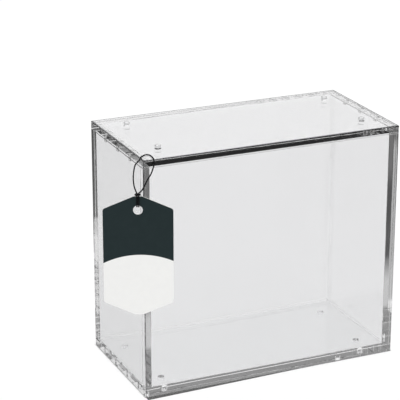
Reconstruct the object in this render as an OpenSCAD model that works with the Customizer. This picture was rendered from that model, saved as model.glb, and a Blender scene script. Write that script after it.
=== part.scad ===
// Clear acrylic display case for a boxed set of trading cards.
// Six 6 mm panels: a glued box of five and a flat lid that magnets hold shut,
// with studs on the lid and sockets in the base so that cases stack.
// A blank hang tag on a string loop hangs over the lid's front left corner.
// The origin is the centre of the case's underside, +Z is up, -Y is the front.

/* [Case] */
// Clear width inside
inside_w = 193; // [120:1:260]
// Clear depth inside
inside_d = 92; // [84:1:140]
// Clear height inside
inside_h = 171; // [120:1:240]
// Thickness of the side, front and back panels
wall_t = 6; // [5.5:0.5:10]
// Thickness of the base panel
base_t = 6; // [5:0.5:10]
// Thickness of the lid panel
lid_t = 6; // [5:0.5:10]
// Bevel along the panel edges, flame polished
edge_ease = 0.3; // [0.1:0.1:0.5]
// Air gap between the closed lid and the walls
lid_gap = 0.05; // [0.02:0.01:0.2]

/* [Closing magnets] */
// Diameter of a magnet
magnet_d = 4; // [3:0.5:4.5]
// Length of a magnet in a wall
wall_magnet_h = 2; // [1.5:0.5:6]
// Length of a magnet in the lid
lid_magnet_h = 2; // [1.5:0.5:3.5]
// Distance between magnets along a side wall
magnet_pitch = 24; // [12:1:30]
// Radial clearance of a magnet in its pocket
magnet_clear = 0.05; // [0.02:0.01:0.2]
// Depth of a magnet's end below the face it sits in
magnet_recess = 0.2; // [0.05:0.05:0.5]

/* [Stacking studs] */
// Diameter of a stud
stud_d = 4.5; // [3:0.5:6]
// Height of a stud above the lid
stud_h = 3; // [2:0.5:3.5]
// Depth of a stud's shank in the lid
stud_seat = 3; // [2:0.5:4]
// Radial clearance of a stud in the socket of the case above
socket_clear = 0.25; // [0.1:0.05:0.5]
// Space left above a stud in its socket
socket_over = 0.5; // [0.3:0.1:1]
// Distance of a stud from the left or right end
stud_inset_x = 20; // [12:1:40]
// Distance of a stud from the front or back
stud_inset_y = 22; // [12:1:36]

/* [Hang tag] */
// Width of the card
tag_w = 50; // [40:1:70]
// Height of the card from its top to its bottom point
tag_h = 90; // [70:1:120]
// Height of the sloping top and of the sloping bottom
tag_slope = 9.5; // [6:0.5:14]
// Width of the short flat at the top and at the bottom
tag_flat = 6; // [3:0.5:10]
// Corner radius of the card
tag_r = 2.5; // [1:0.5:4]
// Thickness of the card
tag_t = 0.6; // [0.4:0.1:0.8]
// Diameter of the punched hole
tag_hole_d = 6.8; // [6.4:0.1:8]
// Distance of the hole's centre below the card's top
tag_hole_drop = 10.2; // [9:0.1:14]
// Distance of the card's top below the top of the lid
tag_drop = 25; // [24:0.5:40]
// Diameter of the string
string_d = 1; // [0.8:0.1:1.1]

/* [Hidden] */
$fn = 64;
eps = 0.01;

// Outside of the case
out_w = inside_w + 2 * wall_t;
out_d = inside_d + 2 * wall_t;
wall_top = base_t + inside_h;
lid_z = wall_top + lid_gap;
lid_top = lid_z + lid_t;

// Places of the magnets and of the studs
magnet_x = out_w / 2 - wall_t / 2;
pocket_d = magnet_d + 2 * magnet_clear;
wall_pocket_h = wall_magnet_h + magnet_recess + magnet_clear;
lid_pocket_h = lid_magnet_h + magnet_recess + magnet_clear;
magnet_bevel = 0.2;
stud_x = out_w / 2 - stud_inset_x;
stud_y = out_d / 2 - stud_inset_y;
stud_bevel = 0.5;
stud_fit = 0.02;
shank_d = stud_d - 1;
socket_d = stud_d + 2 * socket_clear;
socket_h = stud_h + socket_over;

// The tag's own frame: X runs along the card, -Y faces the viewer, Z is up from the lid's top.
// It stands at the front left corner of the lid, turned to face the corner.
tag_turn = -24;
tag_x = -4.2;
tag_front_y = -3.2;
tag_back_y = tag_front_y + tag_t;
hole_z = -tag_drop - tag_hole_drop;

// Places of the string: gap_s parts it from the card, and its two strands from each other
gap_s = 0.2;
strand_x = string_d / 2 + 0.15;
xl = tag_x - strand_x;
xr = tag_x + strand_x;
yb = tag_back_y + gap_s + string_d / 2;
yf = tag_front_y - gap_s - string_d / 2;
hang_z = hole_z + tag_hole_d / 2 - string_d / 2 - gap_s * 2;
turn_z = 1;
rest_z = string_d / 2 + 0.05;
knot_z = 1.5 - tag_drop;
knot_r = strand_x + string_d + 0.1;

// One strand of the string from the knot down behind the card, through the hole and back up
function strand(x) = [
    [x, yb - gap_s, knot_z - 0.1],
    [x, yb, knot_z - 2],
    [x, yb, hang_z + turn_z],
    [x, yb - gap_s, hang_z + turn_z / 3],
    [x, (yb + yf) / 2, hang_z],
    [x, yf + gap_s, hang_z + turn_z / 3],
    [x, yf, hang_z + turn_z],
    [x, yf, knot_z - 2],
    [x, yf, knot_z + 1]
];

// The loop: up on the left, round over the lid's corner and down on the right
loop_route = [
    [-5.4, -3.6, -21.2], [-6.7, -2.8, -17.4], [-7.2, -2, -13], [-7.1, -1, -9.4],
    [-6.6, 0.5, -6], [-5.6, 2, -3], [-2.55, 3.8, 0], [-2.3, 5.1, rest_z + 0.2],
    [-1.25, 8.6, rest_z], [0.75, 12, rest_z], [3.2, 12.4, rest_z], [5.05, 9.7, rest_z],
    [6.55, 4.85, rest_z], [6.95, 3.1, rest_z + 0.2], [7.2, 2.3, 0], [7.4, 2.2, -2],
    [7.3, 1.5, -3.4], [6.3, 0, -6.4], [4.9, -1, -9.7], [2.7, -2, -13.1], [0.65, -2.7, -17.3],
    [-1.5, -3.3, -20.9]
];
strand_l = strand(xl);
strand_r = strand(xr);
string_route = concat(
    strand_l,
    loop_route,
    [for (i = [len(strand_r) - 1 : -1 : 0]) strand_r[i]]
);
string_sides = 8;

// ---- Shapes shared by the pieces ----

// Rectangle from the origin with its corners cut by c
function cut_rect(w, h, c) = [
    [c, 0], [w - c, 0], [w, c], [w, h - c], [w - c, h], [c, h], [0, h - c], [0, c]
];

// Block from the origin with all twelve edges bevelled by c
module eased_block(w, d, h, c) {
    intersection() {
        linear_extrude(h) polygon(cut_rect(w, d, c));
        translate([0, d, 0]) rotate([90, 0, 0]) linear_extrude(d) polygon(cut_rect(w, h, c));
        rotate([90, 0, 90]) linear_extrude(w) polygon(cut_rect(d, h, c));
    }
}

// Upright rod from the origin with both rims bevelled by c
module eased_rod(d, h, c) {
    rotate_extrude()
        polygon([[0, 0], [d / 2 - c, 0], [d / 2, c], [d / 2, h - c], [d / 2 - c, h], [0, h]]);
}

// ---- Panels ----

module base_panel() {
    color([0.88, 0.93, 0.95, 0.35]) difference() {
        translate([-out_w / 2, -out_d / 2, 0]) eased_block(out_w, out_d, base_t, edge_ease);
        for (x = [-stud_x, stud_x], y = [-stud_y, stud_y])
            translate([x, y, -eps]) cylinder(d = socket_d, h = socket_h + eps);
    }
}

// Front and back panels run the full width and stand on the base
module long_panel(y) {
    color([0.88, 0.93, 0.95, 0.35])
        translate([-out_w / 2, y, base_t]) eased_block(out_w, wall_t, inside_h, edge_ease);
}

module front_panel() {
    long_panel(-out_d / 2);
}

module back_panel() {
    long_panel(out_d / 2 - wall_t);
}

// Side panels stand between the front and the back, with magnet pockets in their top edge
module side_panel(x) {
    color([0.88, 0.93, 0.95, 0.35]) difference() {
        translate([x - wall_t / 2, -inside_d / 2, base_t])
            eased_block(wall_t, inside_d, inside_h, edge_ease);
        for (y = [-magnet_pitch, 0, magnet_pitch])
            translate([x, y, wall_top - wall_pocket_h])
                cylinder(d = pocket_d, h = wall_pocket_h + eps);
    }
}

module left_panel() {
    side_panel(-magnet_x);
}

module right_panel() {
    side_panel(magnet_x);
}

module lid_panel() {
    color([0.9, 0.95, 0.97, 0.35]) difference() {
        translate([-out_w / 2, -out_d / 2, lid_z]) eased_block(out_w, out_d, lid_t, edge_ease);
        for (x = [-magnet_x, magnet_x], y = [-magnet_pitch, 0, magnet_pitch])
            translate([x, y, lid_z - eps]) cylinder(d = pocket_d, h = lid_pocket_h + eps);
        for (x = [-stud_x, stud_x], y = [-stud_y, stud_y])
            translate([x, y, lid_top - stud_seat - stud_fit])
                cylinder(d = shank_d + 2 * stud_fit, h = stud_seat + stud_fit + eps);
    }
}

// ---- Magnets and studs ----

module wall_magnet(side, row) {
    color([0.78, 0.79, 0.8])
        translate([side * magnet_x, row * magnet_pitch, wall_top - magnet_recess - wall_magnet_h])
            eased_rod(magnet_d, wall_magnet_h, magnet_bevel);
}

module lid_magnet(side, row) {
    color([0.78, 0.79, 0.8])
        translate([side * magnet_x, row * magnet_pitch, lid_z + magnet_recess])
            eased_rod(magnet_d, lid_magnet_h, magnet_bevel);
}

module wall_magnet_left_front() {
    wall_magnet(-1, -1);
}

module wall_magnet_left_middle() {
    wall_magnet(-1, 0);
}

module wall_magnet_left_back() {
    wall_magnet(-1, 1);
}

module wall_magnet_right_front() {
    wall_magnet(1, -1);
}

module wall_magnet_right_middle() {
    wall_magnet(1, 0);
}

module wall_magnet_right_back() {
    wall_magnet(1, 1);
}

module lid_magnet_left_front() {
    lid_magnet(-1, -1);
}

module lid_magnet_left_middle() {
    lid_magnet(-1, 0);
}

module lid_magnet_left_back() {
    lid_magnet(-1, 1);
}

module lid_magnet_right_front() {
    lid_magnet(1, -1);
}

module lid_magnet_right_middle() {
    lid_magnet(1, 0);
}

module lid_magnet_right_back() {
    lid_magnet(1, 1);
}

// A turned stud: its thin shank sits in the lid and its head stands on it
module stacking_stud(side, row) {
    r = stud_d / 2;
    color([0.85, 0.9, 0.93, 0.6])
        translate([side * stud_x, row * stud_y, lid_top]) rotate_extrude() polygon([
            [0, -stud_seat], [shank_d / 2, -stud_seat], [shank_d / 2, 0], [r, 0],
            [r, stud_h - stud_bevel], [r - stud_bevel, stud_h], [0, stud_h]
        ]);
}

module stacking_stud_front_left() {
    stacking_stud(-1, -1);
}

module stacking_stud_front_right() {
    stacking_stud(1, -1);
}

module stacking_stud_back_left() {
    stacking_stud(-1, 1);
}

module stacking_stud_back_right() {
    stacking_stud(1, 1);
}

// ---- Hang tag ----

module at_tag() {
    translate([-out_w / 2, -out_d / 2, lid_top]) rotate([0, 0, tag_turn]) children();
}

// Points of an outline with each corner rounded by r
function unit(v) = v / norm(v);
function rounded(p, r, n = 6) = [
    for (i = [0 : len(p) - 1])
        let (
            a = unit(p[(i + len(p) - 1) % len(p)] - p[i]),
            b = unit(p[(i + 1) % len(p)] - p[i]),
            half = acos(a * b) / 2,
            centre = p[i] + unit(a + b) * (r / sin(half)),
            s = p[i] + a * (r / tan(half)) - centre,
            e = p[i] + b * (r / tan(half)) - centre
        )
        for (k = [0 : n]) centre + r * unit(s * (n - k) + e * k)
];

tag_outline = [
    [-tag_flat / 2, 0], [-tag_w / 2, -tag_slope], [-tag_w / 2, tag_slope - tag_h],
    [-tag_flat / 2, -tag_h], [tag_flat / 2, -tag_h], [tag_w / 2, tag_slope - tag_h],
    [tag_w / 2, -tag_slope], [tag_flat / 2, 0]
];

module tag_card() {
    color([0.14, 0.19, 0.2]) at_tag() difference() {
        translate([tag_x, tag_front_y + tag_t, -tag_drop])
            rotate([90, 0, 0]) linear_extrude(tag_t) polygon(rounded(tag_outline, tag_r));
        translate([tag_x, tag_front_y - eps, hole_z])
            rotate([-90, 0, 0]) cylinder(d = tag_hole_d, h = tag_t + 2 * eps);
    }
}

// Smooth line through the route: each stretch gets one more point, half way along its curve
function smooth(p) = [
    for (i = [0 : len(p) - 2])
        let (
            a = p[max(i - 1, 0)],
            b = p[i],
            c = p[i + 1],
            d = p[min(i + 2, len(p) - 1)]
        )
        for (q = [b, (9 * (b + c) - a - d) / 16]) q,
    p[len(p) - 1]
];

// Direction of the line at each of its points
function along(p) = [
    for (i = [0 : len(p) - 1]) unit(p[min(i + 1, len(p) - 1)] - p[max(i - 1, 0)])
];

// Sideways direction at each point, carried along the line so that the tube doesn't twist
function carried(t, first) = [
    for (i = 0, u = unit(first - (first * t[0]) * t[0]); i < len(t);
        i = i + 1, u = i < len(t) ? unit(u - (u * t[i]) * t[i]) : u) u
];

// Round tube along a line, closed at both ends
module tube(p, d, sides) {
    t = along(p);
    u = carried(t, [1, 0, 0]);
    points = [
        for (i = [0 : len(p) - 1], k = [0 : sides - 1])
            p[i] + d / 2 * (cos(360 * k / sides) * u[i] + sin(360 * k / sides) * cross(t[i], u[i]))
    ];
    faces = concat(
        [[for (k = [0 : sides - 1]) k]],
        [[for (k = [0 : sides - 1]) len(points) - 1 - k]],
        [
            for (i = [0 : len(p) - 2], k = [0 : sides - 1])
                let (a = i * sides + k, b = i * sides + (k + 1) % sides)
                for (f = [[a, a + sides, b + sides], [a, b + sides, b]]) f
        ]
    );
    polyhedron(points, faces);
}

module tag_string() {
    color([0.08, 0.08, 0.09]) at_tag() tube(smooth(string_route), string_d, string_sides);
}

// The bend of the string that closes round both strands, just above the card
module tag_knot() {
    color([0.08, 0.08, 0.09]) at_tag()
        translate([tag_x, yf, knot_z])
            rotate_extrude() translate([knot_r, 0]) circle(d = string_d);
}

base_panel();
front_panel();
back_panel();
left_panel();
right_panel();
lid_panel();
wall_magnet_left_front();
wall_magnet_left_middle();
wall_magnet_left_back();
wall_magnet_right_front();
wall_magnet_right_middle();
wall_magnet_right_back();
lid_magnet_left_front();
lid_magnet_left_middle();
lid_magnet_left_back();
lid_magnet_right_front();
lid_magnet_right_middle();
lid_magnet_right_back();
stacking_stud_front_left();
stacking_stud_front_right();
stacking_stud_back_left();
stacking_stud_back_right();
tag_card();
tag_string();
tag_knot();
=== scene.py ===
# Clear acrylic display case with a magnetic lid and a blank hang tag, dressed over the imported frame.
import math

import bpy
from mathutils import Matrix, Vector


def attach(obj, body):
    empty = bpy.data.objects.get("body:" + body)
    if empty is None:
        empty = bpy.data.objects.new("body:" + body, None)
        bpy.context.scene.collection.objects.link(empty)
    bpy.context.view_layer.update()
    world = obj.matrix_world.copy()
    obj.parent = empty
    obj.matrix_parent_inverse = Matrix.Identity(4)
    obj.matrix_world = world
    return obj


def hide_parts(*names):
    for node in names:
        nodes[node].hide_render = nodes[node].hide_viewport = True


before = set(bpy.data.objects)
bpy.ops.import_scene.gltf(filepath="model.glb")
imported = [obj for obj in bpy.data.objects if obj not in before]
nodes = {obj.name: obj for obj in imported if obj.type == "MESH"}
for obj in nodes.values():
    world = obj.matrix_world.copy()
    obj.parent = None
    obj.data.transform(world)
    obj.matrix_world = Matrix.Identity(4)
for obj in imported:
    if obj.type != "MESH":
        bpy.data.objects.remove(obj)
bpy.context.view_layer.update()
scene = bpy.context.scene

# ---- Camera: solved from the box's edges in the photo ----

CAMERA_AT = (-0.5455, -1.1476, 0.5785)
LOOK_DOWN, LOOK_RIGHT = 19.76, 23.93  # degrees
LENS, SENSOR = 160.46, 36  # millimetres
NEAREST, FURTHEST = 0.05, 20

cam_data = bpy.data.cameras.new("camera")
cam_data.sensor_fit = "HORIZONTAL"
cam_data.sensor_width = SENSOR
cam_data.lens = LENS
cam_data.clip_start, cam_data.clip_end = NEAREST, FURTHEST
camera = bpy.data.objects.new("camera", cam_data)
camera.location = CAMERA_AT
camera.rotation_euler = (math.radians(90 - LOOK_DOWN), 0, math.radians(-LOOK_RIGHT))
scene.collection.objects.link(camera)
scene.camera = camera

# ---- Sizes in metres, as in the CAD ----

MM = 0.001
OUT_W, OUT_D = 0.205, 0.104
HALF_W, HALF_D = OUT_W / 2, OUT_D / 2
WALL, BASE_T = 0.006, 0.006
IN_X, IN_Y = HALF_W - WALL, HALF_D - WALL  # where the walls' inner faces are
WALL_TOP = 0.177
LID_UNDER, LID_TOP = 0.17705, 0.18305
STUD_X, STUD_Y, STUD_R = HALF_W - 0.02, HALF_D - 0.022, 0.00225

# ---- The tag's own frame: at the lid's front left corner, along the card, to the back and up ----

TURN = math.radians(24)
TAG_AT = (-HALF_W, -HALF_D, LID_TOP)
TAG_X, TAG_FRONT, TAG_T = -4.2, -3.2, 0.6


def at_tag(r, y, z):
    """Point in metres of the whole part's frame for a point in millimetres of the tag's frame."""
    c, s = math.cos(TURN), math.sin(TURN)
    return Vector(
        (TAG_AT[0] + MM * (r * c + y * s), TAG_AT[1] + MM * (y * c - r * s), TAG_AT[2] + MM * z)
    )


# ---- The string: its route as in the CAD, in millimetres of the tag's frame ----

STRING_D, STRING_GAP = 1.0, 0.2
BACK_Y = TAG_FRONT + TAG_T + STRING_GAP + STRING_D / 2
FRONT_Y = TAG_FRONT - STRING_GAP - STRING_D / 2
HANG_Z, KNOT_Z, REST_Z = -32.7, -23.5, 0.55
LEFT_X, RIGHT_X = TAG_X - 0.65, TAG_X + 0.65
KNOT_R = 1.75

# In metres, for the meshes
PLIES_R = 0.00055  # over the plies' crowns, so that the string is 1 mm thick on the average
PLIES, PITCH = 3, 0.0027
LINE_STEP = 0.00022
RING_POINTS = 52

LOOP = [
    (-5.4, -3.6, -21.2), (-6.7, -2.8, -17.4), (-7.2, -2, -13), (-7.1, -1, -9.4),
    (-6.6, 0.5, -6), (-5.6, 2, -3), (-2.55, 3.8, 0), (-2.3, 5.1, REST_Z + 0.2),
    (-1.25, 8.6, REST_Z), (0.75, 12, REST_Z), (3.2, 12.4, REST_Z), (5.05, 9.7, REST_Z),
    (6.55, 4.85, REST_Z), (6.95, 3.1, REST_Z + 0.2), (7.2, 2.3, 0), (7.4, 2.2, -2),
    (7.3, 1.5, -3.4), (6.3, 0, -6.4), (4.9, -1, -9.7), (2.7, -2, -13.1), (0.65, -2.7, -17.3),
    (-1.5, -3.3, -20.9),
]


def strand(x):
    """One strand, from inside the bend down behind the card, through its hole and up in front."""
    return [
        (x, BACK_Y - 0.2, KNOT_Z - 0.1),
        (x, BACK_Y, KNOT_Z - 2),
        (x, BACK_Y, HANG_Z + 1),
        (x, BACK_Y - 0.2, HANG_Z + 1 / 3),
        (x, (BACK_Y + FRONT_Y) / 2, HANG_Z),
        (x, FRONT_Y + 0.2, HANG_Z + 1 / 3),
        (x, FRONT_Y, HANG_Z + 1),
        (x, FRONT_Y, KNOT_Z - 2),
        (x, FRONT_Y, KNOT_Z + 1),
    ]


def smooth(points):
    """The route with one more point in each stretch, half way along its curve."""
    out = []
    n = len(points)
    for i in range(n - 1):
        a, b, c, d = points[max(i - 1, 0)], points[i], points[i + 1], points[min(i + 2, n - 1)]
        out.append(b)
        out.append((b + c) * 9 / 16 - (a + d) / 16)
    out.append(points[-1])
    return out


def even(points, step):
    """Points about a step apart along a line, and the line's length."""
    lengths = [0.0]
    for a, b in zip(points, points[1:]):
        lengths.append(lengths[-1] + (b - a).length)
    count = max(2, round(lengths[-1] / step))
    out, i = [], 0
    for k in range(count + 1):
        at = lengths[-1] * k / count
        while i < len(points) - 2 and lengths[i + 1] < at:
            i += 1
        t = (at - lengths[i]) / (lengths[i + 1] - lengths[i])
        out.append(points[i].lerp(points[i + 1], min(max(t, 0), 1)))
    return out, lengths[-1]


def laid_section(radius, plies, sides):
    """Outline of a laid string's section, as pairs of angle and distance from its middle."""
    ply = radius / (1 + 1 / math.sin(math.pi / plies))
    off = radius - ply
    share = 2 * math.pi / plies
    section = []
    for k in range(plies * sides):
        angle = 2 * math.pi * k / (plies * sides)
        from_crown = (angle + share / 2) % share - share / 2
        reach = off * math.cos(from_crown) + math.sqrt(max(ply**2 - (off * math.sin(from_crown)) ** 2, 0))
        section.append((angle, max(reach, radius / 2)))
    return section


def twisted(name, line, radius, plies=PLIES, pitch=PITCH, sides=6, closed=False):
    """Laid string along a line: plies of round section twisted about it, as one mesh."""
    section = laid_section(radius, plies, sides)
    n, m = len(section), len(line)
    total = sum((b - a).length for a, b in zip(line, line[1:] + line[:1] * closed))
    turns = round(total / pitch) if closed else total / pitch
    verts, faces = [], []
    side = None
    travelled = 0.0
    for i, p in enumerate(line):
        if closed:
            along = (line[(i + 1) % m] - line[i - 1]).normalized()
        else:
            along = (line[min(i + 1, m - 1)] - line[max(i - 1, 0)]).normalized()
        if side is None:
            # Any direction across the line will do to start from
            side = along.cross(Vector((0, 0, 1)))
            if side.length < 0.1:
                side = along.cross(Vector((0, 1, 0)))
        side = (side - along * side.dot(along)).normalized()
        up = along.cross(side)
        if i:
            travelled += (p - line[i - 1]).length
        spin = 2 * math.pi * turns * travelled / total
        for angle, reach in section:
            verts.append(p + reach * (math.cos(angle + spin) * side + math.sin(angle + spin) * up))
    for i in range(m if closed else m - 1):
        here, there = i * n, (i + 1) % m * n
        for k in range(n):
            k1 = (k + 1) % n
            faces.append((here + k, here + k1, there + k1, there + k))
    if not closed:
        faces.append(tuple(reversed(range(n))))
        faces.append(tuple((m - 1) * n + k for k in range(n)))
    mesh = bpy.data.meshes.new(name)
    mesh.from_pydata([tuple(v) for v in verts], [], faces)
    mesh.validate()
    for poly in mesh.polygons:
        poly.use_smooth = len(poly.vertices) == 4
    obj = bpy.data.objects.new(name, mesh)
    scene.collection.objects.link(obj)
    return obj


def bend_ring():
    """The bend of the string round both strands, as points on a level circle."""
    angles = [2 * math.pi * k / RING_POINTS for k in range(RING_POINTS)]
    return [at_tag(TAG_X + KNOT_R * math.cos(a), FRONT_Y + KNOT_R * math.sin(a), KNOT_Z) for a in angles]


route = [at_tag(*p) for p in strand(LEFT_X) + LOOP + strand(RIGHT_X)[::-1]]
string_line, string_length = even(smooth(smooth(route)), LINE_STEP)
cord = twisted("string_loop", string_line, PLIES_R)
knot = twisted("string_bend", bend_ring(), PLIES_R, closed=True)
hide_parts("tag_string")
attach(cord, "lid")
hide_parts("tag_knot")
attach(knot, "lid")

# ---- Node helpers: a value is a number or an output socket ----

WHITE, BLACK = (1, 1, 1, 1), (0, 0, 0, 1)


def new_mat(name):
    mat = bpy.data.materials.new(name)
    mat.use_nodes = True
    mat.node_tree.nodes.clear()
    return mat, mat.node_tree


def add(nt, kind, **values):
    """A new node, with its settings, and with its inputs where a name starts with in_."""
    n = nt.nodes.new(kind)
    for key, value in values.items():
        if key.startswith("in_"):
            n.inputs[key[3:].replace("_", " ")].default_value = value
        else:
            setattr(n, key, value)
    return n


def put(nt, value, socket):
    """Sets a socket to a number or colour, or links it to another socket."""
    if isinstance(value, bpy.types.NodeSocket):
        nt.links.new(value, socket)
    else:
        socket.default_value = value


def math_node(nt, op, *values):
    n = add(nt, "ShaderNodeMath", operation=op)
    for value, socket in zip(values, n.inputs):
        put(nt, value, socket)
    return n.outputs[0]


def chain(nt, op, values):
    """Several values taken together, two at a time."""
    out = values[0]
    for value in values[1:]:
        out = math_node(nt, op, out, value)
    return out


def all_of(nt, *values):
    """1 where all are 1."""
    return chain(nt, "MULTIPLY", values)


def any_of(nt, *values):
    """1 where any is 1."""
    return chain(nt, "MAXIMUM", values)


def times(nt, a, b):
    return math_node(nt, "MULTIPLY", a, b)


def plus(nt, a, b):
    return math_node(nt, "ADD", a, b)


def minus(nt, a, b):
    return math_node(nt, "SUBTRACT", a, b)


def over(nt, value, limit):
    return math_node(nt, "GREATER_THAN", value, limit)


def below(nt, value, limit):
    return math_node(nt, "LESS_THAN", value, limit)


def is_near(nt, value, target, tolerance):
    return math_node(nt, "COMPARE", value, target, tolerance)


def unsigned(nt, value):
    return math_node(nt, "ABSOLUTE", value)


def between(nt, value, low, high, to_low=0.0, to_high=1.0):
    """A value mapped from one range to another and held inside it."""
    n = add(nt, "ShaderNodeMapRange")
    put(nt, value, n.inputs["Value"])
    put(nt, low, n.inputs["From Min"])
    put(nt, high, n.inputs["From Max"])
    put(nt, to_low, n.inputs["To Min"])
    put(nt, to_high, n.inputs["To Max"])
    return n.outputs[0]


def blend(nt, share, a, b):
    """Colour a where the share is 0, and colour b where it is 1."""
    n = add(nt, "ShaderNodeMix", data_type="RGBA")
    put(nt, share, n.inputs["Factor"])
    put(nt, a, n.inputs[6])
    put(nt, b, n.inputs[7])
    return n.outputs[2]


def mix(nt, share, a, b):
    """Shader a where the share is 0, and shader b where it is 1."""
    n = add(nt, "ShaderNodeMixShader")
    for socket, value in zip(n.inputs, (share, a, b)):
        nt.links.new(value, socket)
    return n.outputs[0]


def parts_of(nt, vector):
    n = add(nt, "ShaderNodeSeparateXYZ")
    nt.links.new(vector, n.inputs[0])
    return n.outputs[0], n.outputs[1], n.outputs[2]


def place(nt):
    """The point on the piece, in metres."""
    return add(nt, "ShaderNodeTexCoord").outputs["Object"]


def noise(nt, where, scale, detail, rough=0.5):
    n = add(nt, "ShaderNodeTexNoise", in_Scale=scale, in_Detail=detail, in_Roughness=rough)
    nt.links.new(where, n.inputs["Vector"])
    return n.outputs["Fac"]


def bump(nt, height, distance, strength=1.0):
    n = add(nt, "ShaderNodeBump", in_Strength=strength, in_Distance=distance)
    nt.links.new(height, n.inputs["Height"])
    return n.outputs[0]


def emission(nt, strength, colour=WHITE):
    n = add(nt, "ShaderNodeEmission")
    put(nt, colour, n.inputs[0])
    put(nt, strength, n.inputs[1])
    return n.outputs[0]


def clear(nt, colour=WHITE):
    n = add(nt, "ShaderNodeBsdfTransparent")
    put(nt, colour, n.inputs[0])
    return n.outputs[0]


def finish_mat(nt, shader):
    out = add(nt, "ShaderNodeOutputMaterial")
    nt.links.new(shader, out.inputs[0])


def give(names, mat):
    for name in names:
        slots = nodes[name].data.materials
        slots.clear()
        slots.append(mat)


# ---- Acrylic ----

ACRYLIC_IOR = 1.49
TOUCHING = 0.0003  # faces this near each other have no air between them for the eye
SAME_FACE = 0.00001
EDGE = 0.0004  # a little more than the width of an eased edge
STEEP = 0.8  # an eased edge faces along no axis by more than this
PAINTED_LINE_WIDTH = 0.0012  # painted shade: the lid's top face is painted dark this far in from its edges
SEAT_R, SEAT_LOW = STUD_R + 0.0001, LID_UNDER + 0.001  # round and below everything in a stud's seat
SHEET_TINTS = (0.882, 0.882, 0.888, 1), (0.892, 0.892, 0.896, 1)
STUD_TINTS = (0.96, 0.965, 0.965, 1), (0.98, 0.98, 0.98, 1)
# Painted shade: the dark colour and the dark reflection given to the eased edges and to the line round
# the lid's top
EDGE_SHADE_TINT, EDGE_DARK_REFLECTION = (0.03, 0.03, 0.033, 1), (0.15, 0.15, 0.16, 1)
SHADOW_TINT = (0.985, 0.987, 0.987, 1)
SCUFF_ROUGH, GLUE_ROUGH = 0.02, (0.25, 0.8)
WAVE_DEPTH = 0.000004


def covered(nt):
    """1 where another face lies against this one, seen from either side: the closed lid on the walls."""
    open_share = []
    for inside in (False, True):
        n = add(nt, "ShaderNodeAmbientOcclusion", samples=2, inside=inside)
        n.inputs["Distance"].default_value = TOUCHING
        open_share.append(n.outputs["AO"])
    return below(nt, math_node(nt, "MINIMUM", *open_share), 0.5)


def stud_seat(nt, ax, ay, z):
    """1 on the lid round each stud: in its seat, and under its head."""
    from_x, from_y = minus(nt, ax, STUD_X), minus(nt, ay, STUD_Y)
    square = math_node(nt, "MULTIPLY_ADD", from_x, from_x, times(nt, from_y, from_y))
    return all_of(nt, below(nt, math_node(nt, "SQRT", square), SEAT_R), over(nt, z, SEAT_LOW))


def bonded(nt, which):
    """1 on the faces where a piece meets the next one with no air between, from their place."""
    x, y, z = parts_of(nt, place(nt))
    ax, ay = unsigned(nt, x), unsigned(nt, y)
    if which == "stud":
        return below(nt, z, LID_TOP + SAME_FACE)
    rim = any_of(nt, over(nt, ax, IN_X), over(nt, ay, IN_Y))
    if which == "lid":
        under = all_of(nt, is_near(nt, z, LID_UNDER, SAME_FACE), rim, covered(nt))
        return any_of(nt, under, stud_seat(nt, ax, ay, z))
    top = all_of(nt, is_near(nt, z, WALL_TOP, SAME_FACE), covered(nt))
    flat = all_of(nt, any_of(nt, is_near(nt, z, BASE_T, SAME_FACE), top), rim)
    upright = all_of(nt, is_near(nt, ay, IN_Y, SAME_FACE), over(nt, ax, IN_X))
    return any_of(nt, flat, upright)


def slanting(nt):
    """1 on a face that is neither level nor upright along an axis, such as an eased edge."""
    geo = add(nt, "ShaderNodeNewGeometry")
    way = add(nt, "ShaderNodeVectorMath", operation="ABSOLUTE")
    nt.links.new(geo.outputs["True Normal"], way.inputs[0])
    return below(nt, any_of(nt, *parts_of(nt, way.outputs[0])), STEEP)


def painted_dark_edges(nt, which, slope, ax, ay, z):
    """1 where painted shade goes: on the eased edges that show, dark in colour and in reflection, and on
    a narrow painted dark line round the lid's top.
    """
    end, side = over(nt, ax, HALF_W - EDGE), over(nt, ay, HALF_D - EDGE)
    if which == "lid":
        line = any_of(nt, over(nt, ax, HALF_W - PAINTED_LINE_WIDTH), over(nt, ay, HALF_D - PAINTED_LINE_WIDTH))
        line = all_of(nt, over(nt, z, LID_TOP - EDGE), line)
        return any_of(nt, all_of(nt, slope, any_of(nt, end, side)), line)
    corner = all_of(nt, end, side)
    low = all_of(nt, any_of(nt, end, side), below(nt, z, EDGE))
    # Of the top edges only those of the two side panels
    top = all_of(nt, over(nt, z, WALL_TOP - EDGE), over(nt, ax, IN_X - EDGE), below(nt, ay, IN_Y))
    return all_of(nt, slope, any_of(nt, corner, low, top))


def glue_run(nt, slope, ax, ay, z):
    """1 along the edges where the walls meet the base inside."""
    level = below(nt, unsigned(nt, minus(nt, z, BASE_T)), EDGE)
    return all_of(nt, slope, below(nt, ax, IN_X + EDGE), below(nt, ay, IN_Y + EDGE), level)


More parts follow.
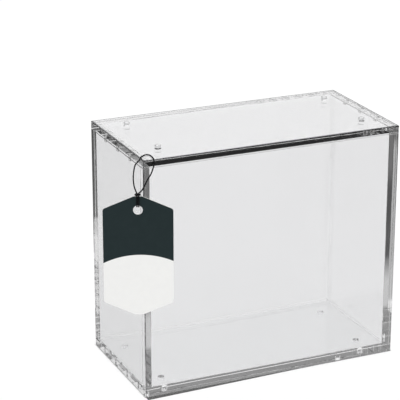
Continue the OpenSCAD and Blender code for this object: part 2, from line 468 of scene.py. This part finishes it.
def acrylic(name, which):
    """Clear acrylic of the case, the lid or a stud, faintly cloudy, wavy and scuffed."""
    mat, nt = new_mat(name)
    p = add(nt, "ShaderNodeBsdfPrincipled", in_IOR=ACRYLIC_IOR, in_Transmission_Weight=1)
    where = place(nt)
    cloud = noise(nt, where, scale=30, detail=3)
    scuffs = noise(nt, where, scale=90, detail=4, rough=0.6)
    rough = between(nt, scuffs, 0.55, 0.8, 0.0, SCUFF_ROUGH)
    if which == "stud":
        tint = blend(nt, cloud, *STUD_TINTS)
    else:
        x, y, z = parts_of(nt, where)
        ax, ay = unsigned(nt, x), unsigned(nt, y)
        slope = slanting(nt)
        dark, glued = painted_dark_edges(nt, which, slope, ax, ay, z), glue_run(nt, slope, ax, ay, z)
        beads = between(nt, noise(nt, where, scale=260, detail=2), 0.42, 0.5, *GLUE_ROUGH)
        rough = any_of(nt, rough, all_of(nt, glued, beads))
        sheet = blend(nt, glued, blend(nt, cloud, *SHEET_TINTS), WHITE)
        # Painted shade: the eased edges that show and the line round the lid's top are coloured dark and
        # mirror dark
        tint = blend(nt, dark, sheet, EDGE_SHADE_TINT)
        put(nt, blend(nt, dark, WHITE, EDGE_DARK_REFLECTION), p.inputs["Specular Tint"])
    put(nt, tint, p.inputs["Base Color"])
    put(nt, rough, p.inputs["Roughness"])
    put(nt, bump(nt, noise(nt, where, scale=120, detail=1), WAVE_DEPTH), p.inputs["Normal"])
    # Light falls straight through it on what stands behind, and the eye sees straight through the joints
    rays = add(nt, "ShaderNodeLightPath").outputs
    lighting = any_of(nt, rays["Is Shadow Ray"], rays["Is Diffuse Ray"])
    sheet_shader = mix(nt, lighting, p.outputs[0], clear(nt, SHADOW_TINT))
    finish_mat(nt, mix(nt, bonded(nt, which), sheet_shader, clear(nt)))
    return mat


# ---- Nickel of the magnets ----

NICKEL_TINTS = (0.9, 0.89, 0.87, 1), (0.96, 0.96, 0.95, 1)


def nickel():
    mat, nt = new_mat("nickel_plate")
    where = place(nt)
    cloud = noise(nt, where, scale=900, detail=3)
    p = add(nt, "ShaderNodeBsdfPrincipled", in_Metallic=1.0)
    put(nt, blend(nt, cloud, *NICKEL_TINTS), p.inputs["Base Color"])
    put(nt, between(nt, cloud, 0.3, 0.7, 0.08, 0.2), p.inputs["Roughness"])
    put(nt, bump(nt, noise(nt, where, scale=4000, detail=2), 0.00001), p.inputs["Normal"])
    finish_mat(nt, p.outputs[0])
    return mat


# ---- Card of the tag: dark print above an arc on its front, bare card elsewhere ----

ARC_R, ARC_X, ARC_TOP = 0.059, -0.0024, 0.114
PRINT_EDGE = 0.00012  # how far the ink's edge strays
PAPER_TINTS = (0.84, 0.84, 0.83, 1), (0.88, 0.88, 0.865, 1)
INK_TINTS = (0.0145, 0.0255, 0.0275, 1), (0.0185, 0.0305, 0.0325, 1)
FIBRE_DEPTH = 0.00003
MATT = 0.12


def dark_field(nt, where, fibre):
    """1 on the card's front above the arc, in the tag's own frame."""
    x, y, z = parts_of(nt, where)
    c, s = math.cos(TURN), math.sin(TURN)
    dx, dy = minus(nt, x, TAG_AT[0]), minus(nt, y, TAG_AT[1])
    along = minus(nt, times(nt, dx, c), times(nt, dy, s))
    deep = plus(nt, times(nt, dx, s), times(nt, dy, c))
    off = minus(nt, along, ARC_X)
    rise = math_node(nt, "SQRT", minus(nt, ARC_R**2, times(nt, off, off)))
    arc = plus(nt, rise, ARC_TOP - ARC_R)
    ragged = math_node(nt, "MULTIPLY_ADD", fibre, PRINT_EDGE, minus(nt, z, arc))
    front = below(nt, deep, (TAG_FRONT + 0.02) * MM)
    return all_of(nt, between(nt, ragged, 0.0, PRINT_EDGE), front)


def printed_card():
    mat, nt = new_mat("tag_card_print")
    where = place(nt)
    fibre = noise(nt, where, scale=2600, detail=3, rough=0.7)
    mottle = noise(nt, where, scale=240, detail=3)
    paper, ink = blend(nt, mottle, *PAPER_TINTS), blend(nt, mottle, *INK_TINTS)
    p = add(nt, "ShaderNodeBsdfPrincipled", in_Specular_IOR_Level=MATT)
    put(nt, blend(nt, dark_field(nt, where, fibre), paper, ink), p.inputs["Base Color"])
    put(nt, between(nt, fibre, 0.3, 0.7, 0.55, 0.7), p.inputs["Roughness"])
    put(nt, bump(nt, fibre, FIBRE_DEPTH, strength=0.5), p.inputs["Normal"])
    finish_mat(nt, p.outputs[0])
    return mat


# ---- Black string ----

STRING_TINTS = (0.003, 0.003, 0.004, 1), (0.014, 0.014, 0.016, 1)


def black_string():
    mat, nt = new_mat("black_string")
    fuzz = noise(nt, place(nt), scale=9000, detail=3, rough=0.7)
    p = add(nt, "ShaderNodeBsdfPrincipled", in_Specular_IOR_Level=MATT)
    put(nt, blend(nt, fuzz, *STRING_TINTS), p.inputs["Base Color"])
    put(nt, between(nt, fuzz, 0.3, 0.7, 0.6, 0.85), p.inputs["Roughness"])
    put(nt, bump(nt, fuzz, FIBRE_DEPTH, strength=0.6), p.inputs["Normal"])
    finish_mat(nt, p.outputs[0])
    return mat


panels = ["base_panel", "front_panel", "back_panel", "left_panel", "right_panel"]
give(panels, acrylic("acrylic_case", "case"))
give(["lid_panel"], acrylic("acrylic_lid", "lid"))
give([n for n in nodes if n.startswith("stacking_stud")], acrylic("acrylic_stud", "stud"))
give([n for n in nodes if "magnet" in n], nickel())
give(["tag_card"], printed_card())
string_mat = black_string()
give(["tag_string", "tag_knot"], string_mat)
for piece in (cord, knot):
    piece.data.materials.append(string_mat)

# ---- Floor ----

FLOOR_SIZE, FLOOR_Z = 8, -0.00002
FLOOR_TINTS = (0.925, 0.925, 0.925, 1), (0.935, 0.935, 0.935, 1)
FLOOR_LIFT = 0.1
CONTACT_REACH, CONTACT_SHADE = 0.0015, 0.75
SHADOW_REACH, SHADOW_END, SHADOW_SOFT, SHADOW_SHADE = 0.0045, 0.06, 0.0007, 0.87

# What the panels' edges mirror: where the floor's level changes, in metres from the part's middle,
# with how soft the change is, and the levels, where 1 is white
SOFT, WIDE_SOFT, STRIPE_SOFT = 0.004, 0.02, 0.01
MIRRORED_OUTSIDE = 0.3
NEAR_STEP, NEAR_LEVELS = (0.12, 0.17), (0.62, 0.09)
FAR_STEP, FAR_LEVELS = (0.47, 0.53), (0.18, 0.012)
MIDDLE_STEP = (0.32, 0.38)
BACK_RIGHT_X, BACK_RIGHT_Y, BACK_RIGHT_LEVEL = (0.11, 0.34), (0, 0.45), 0.5
DARK_X, DARK_Y, DARK_SLOPE, DARK_FROM, DARK_LEVEL = (0.115, 0.27), -0.07, 2.1, 0.06, 0.06
STRIPE_X, STRIPE_Y, STRIPE_LEVEL = (0.285, 0.33), (-0.54, -0.42), 0.6
ROUND_X, ROUND_Y, ROUND_LEVEL = HALF_W + 0.03, 0.068, 0.3
BESIDE_Y, BESIDE_LEVEL = 0.08, 0.9
UNDER_LEVEL = 1.0
BELOW_ALL = -1  # a start for a band that has none of its own


def band(nt, value, low, high, soft=SOFT):
    """1 between two values, with soft ends."""
    up = between(nt, value, low - soft, low + soft)
    down = between(nt, value, high - soft, high + soft, 1.0, 0.0)
    return all_of(nt, up, down)


def paint(nt, old, in_x, in_y, level):
    """The old level, with a new one where both bands are 1."""
    return between(nt, all_of(nt, in_x, in_y), 0.0, 1.0, old, level)


def mirrored_floor(nt, x, y):
    """How light the floor is for rays that have run along inside a panel: the bars in its edges."""
    ax, ay = unsigned(nt, x), unsigned(nt, y)
    # In steps to the front and to the back alike
    near, far = between(nt, ay, *NEAR_STEP, *NEAR_LEVELS), between(nt, ay, *FAR_STEP, *FAR_LEVELS)
    level = between(nt, ay, *MIDDLE_STEP, near, far)
    # Grey at the back right, with a dark corner behind a slanting line and another at the front
    grey_y = band(nt, y, *BACK_RIGHT_Y, WIDE_SOFT)
    level = paint(nt, level, band(nt, x, *BACK_RIGHT_X), grey_y, BACK_RIGHT_LEVEL)
    line_y = math_node(nt, "MULTIPLY_ADD", x, DARK_SLOPE, DARK_FROM - DARK_SLOPE * HALF_W)
    beyond = band(nt, minus(nt, y, line_y), 0, 1)
    dark_y = any_of(nt, beyond, band(nt, y, BELOW_ALL, DARK_Y))
    dark = math_node(nt, "MINIMUM", level, DARK_LEVEL)
    level = paint(nt, level, band(nt, x, *DARK_X), dark_y, dark)
    # A light stripe at the front right
    stripe_x = band(nt, x, *STRIPE_X, STRIPE_SOFT)
    level = paint(nt, level, stripe_x, band(nt, y, *STRIPE_Y), STRIPE_LEVEL)
    # Grey round the case, light beside its ends, and white under it
    round_y, beside_y = band(nt, ay, BELOW_ALL, ROUND_Y), band(nt, ay, BELOW_ALL, BESIDE_Y)
    level = paint(nt, level, band(nt, ax, BELOW_ALL, ROUND_X), round_y, ROUND_LEVEL)
    level = paint(nt, level, band(nt, ax, HALF_W, ROUND_X), beside_y, BESIDE_LEVEL)
    return paint(nt, level, below(nt, ax, HALF_W), below(nt, ay, HALF_D), UNDER_LEVEL)


def contact_shade(nt, x, y):
    """Painted shade on the floor: a fine dark line where the case touches it, and a painted shadow in
    front, wider towards the left corner.
    """
    near = add(nt, "ShaderNodeAmbientOcclusion", samples=8)
    near.inputs["Distance"].default_value = CONTACT_REACH
    line = between(nt, near.outputs["AO"], 0.4, 1.0, CONTACT_SHADE, 0.0)
    reach = between(nt, x, -HALF_W, SHADOW_END, SHADOW_REACH, 0.0)
    spare = plus(nt, reach, plus(nt, y, HALF_D))
    ahead = all_of(nt, below(nt, unsigned(nt, x), HALF_W), below(nt, y, -HALF_D))
    shadow = all_of(nt, ahead, between(nt, spare, 0.0, SHADOW_SOFT, 0.0, SHADOW_SHADE))
    return any_of(nt, line, shadow)


def floor_white():
    mat, nt = new_mat("floor_white")
    rays = add(nt, "ShaderNodeLightPath").outputs
    where = add(nt, "ShaderNodeNewGeometry").outputs["Position"]
    x, y, z = parts_of(nt, where)
    white = add(nt, "ShaderNodeBsdfDiffuse")
    put(nt, blend(nt, noise(nt, where, scale=60, detail=2), *FLOOR_TINTS), white.inputs[0])
    lit = add(nt, "ShaderNodeAddShader")
    nt.links.new(white.outputs[0], lit.inputs[0])
    nt.links.new(emission(nt, FLOOR_LIFT), lit.inputs[1])
    # Painted shade, seen by the camera alone: no lamp casts it
    shade = all_of(nt, contact_shade(nt, x, y), rays["Is Camera Ray"])
    seen = mix(nt, shade, lit.outputs[0], emission(nt, 1.0, BLACK))
    # From inside a panel after two mirrorings or more, and off the case's outside
    inside = all_of(nt, over(nt, rays["Glossy Depth"], 1.5), rays["Is Transmission Ray"])
    outside = all_of(nt, below(nt, rays["Transmission Depth"], 0.5), rays["Is Glossy Ray"])
    level = between(nt, outside, 0.0, 1.0, mirrored_floor(nt, x, y), MIRRORED_OUTSIDE)
    finish_mat(nt, mix(nt, any_of(nt, inside, outside), seen, emission(nt, level)))
    return mat


bpy.ops.mesh.primitive_plane_add(size=FLOOR_SIZE, location=(0, 0, FLOOR_Z))
floor = bpy.context.object
floor.name = "floor"
floor.data.materials.append(floor_white())

# ---- World: white, and darker behind the case for light that has run along inside a panel ----

BACKWARD_X, BACKWARD_Y = 0.406, 0.914  # level and away from the side that the photo shows
BACK_STEP = (0.3, 0.45)
# Steps in height, as the sine of the angle above the level: one between what leaves the lid and
# what leaves the base, and one above both
LID_STEP, HIGH_STEP = (0.34, 0.4), (0.5, 0.65)
BACK_LEVELS, BACK_HIGH, FRONT_LEVELS = (0.012, 0.3), 0.9, (0.3, 0.95)


def mirrored_world(nt):
    """How light the world is for rays that have run along inside a panel."""
    x, y, z = parts_of(nt, add(nt, "ShaderNodeTexCoord").outputs["Generated"])
    backward = plus(nt, times(nt, y, BACKWARD_Y), times(nt, x, BACKWARD_X))
    behind = between(nt, z, *HIGH_STEP, between(nt, z, *LID_STEP, *BACK_LEVELS), BACK_HIGH)
    ahead = between(nt, z, *LID_STEP, *FRONT_LEVELS)
    return between(nt, backward, *BACK_STEP, ahead, behind)


def studio():
    world = bpy.data.worlds.new("studio")
    world.cycles.sampling_method = "NONE"
    world.use_nodes = True
    nt = world.node_tree
    nt.nodes.clear()
    rays = add(nt, "ShaderNodeLightPath").outputs
    straight = all_of(nt, below(nt, rays["Glossy Depth"], 1.5), rays["Is Transmission Ray"])
    unmirrored = below(nt, rays["Transmission Depth"], 0.5)
    white = any_of(nt, rays["Is Camera Ray"], straight, rays["Is Diffuse Ray"], unmirrored)
    light = add(nt, "ShaderNodeBackground")
    put(nt, WHITE, light.inputs[0])
    put(nt, between(nt, white, 0.0, 1.0, mirrored_world(nt), 1.0), light.inputs[1])
    out = add(nt, "ShaderNodeOutputWorld")
    nt.links.new(light.outputs[0], out.inputs[0])
    return world


BOUNCES = 32  # enough for light to run along inside a panel

scene.world = studio()
scene.view_settings.view_transform = "Standard"
scene.cycles.max_bounces = BOUNCES
scene.cycles.transmission_bounces = BOUNCES
scene.cycles.glossy_bounces = BOUNCES
scene.cycles.transparent_max_bounces = 2 * BOUNCES
